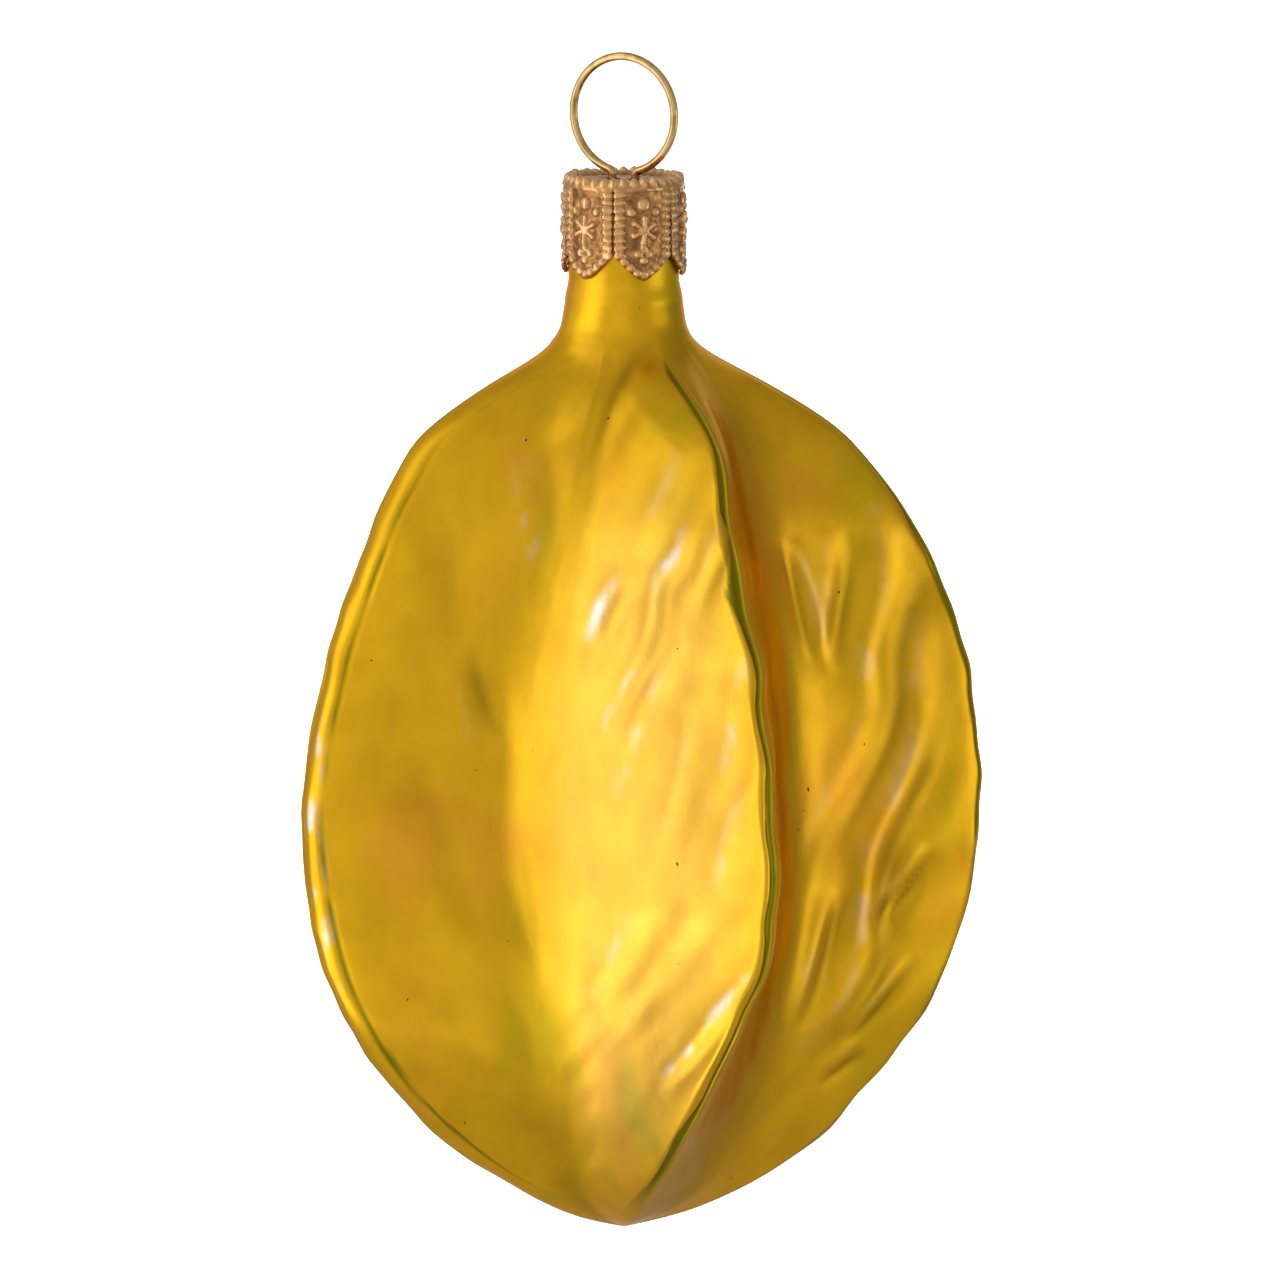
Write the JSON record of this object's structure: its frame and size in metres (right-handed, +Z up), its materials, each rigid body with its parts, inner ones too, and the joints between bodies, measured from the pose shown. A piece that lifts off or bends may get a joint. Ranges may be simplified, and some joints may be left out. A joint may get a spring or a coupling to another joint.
{
  "type": "star fruit glass ornament",
  "caption": "Hanging blown-glass ornament shaped like a star fruit, with a stamped sheet-metal crown cap and a springy wire loop.",
  "frame": {"origin": "top of the inside of the hanging loop, where a hook bears", "axes": "+Z up along the ornament's axis as it hangs, -Y towards the front, +X to the right seen from the front"},
  "size_m": [0.0604, 0.0593, 0.1053],
  "materials": {
    "silvered_glass": "silvered inside, satin yellow lacquer outside, opaque",
    "copper_sheet": "satin rose gold, embossed",
    "brass_wire": "drawn, bright"
  },
  "bodies": {
    "root": {"glass_body": "silvered_glass", "crown_cap": "copper_sheet", "hanger_wire": "brass_wire"}
  },
  "joints": []
}
